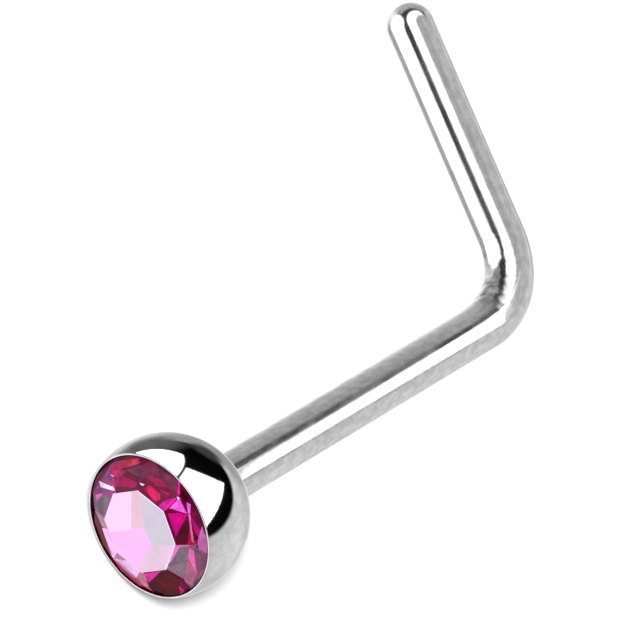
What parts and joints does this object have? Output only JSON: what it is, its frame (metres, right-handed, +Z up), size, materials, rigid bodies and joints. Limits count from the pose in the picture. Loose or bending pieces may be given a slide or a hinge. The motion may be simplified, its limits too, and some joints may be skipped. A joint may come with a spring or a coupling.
{
  "type": "nose stud",
  "caption": "Nose stud lying on its side: a polished steel wire post with a bent leg, and a cut ball setting at its end that holds a round faceted pink crystal.",
  "frame": {"origin": "on the ground, below the middle of the stud's outline as it lies on its side", "axes": "+X along the post from the crystal to the bend, +Y the side the leg points to, +Z up"},
  "size_m": [0.011, 0.0066, 0.0026],
  "materials": {
    "polished_steel": "polished",
    "pink_crystal": "polished"
  },
  "bodies": {
    "root": {"setting_and_post": "polished_steel", "crystal": "pink_crystal"}
  },
  "joints": []
}
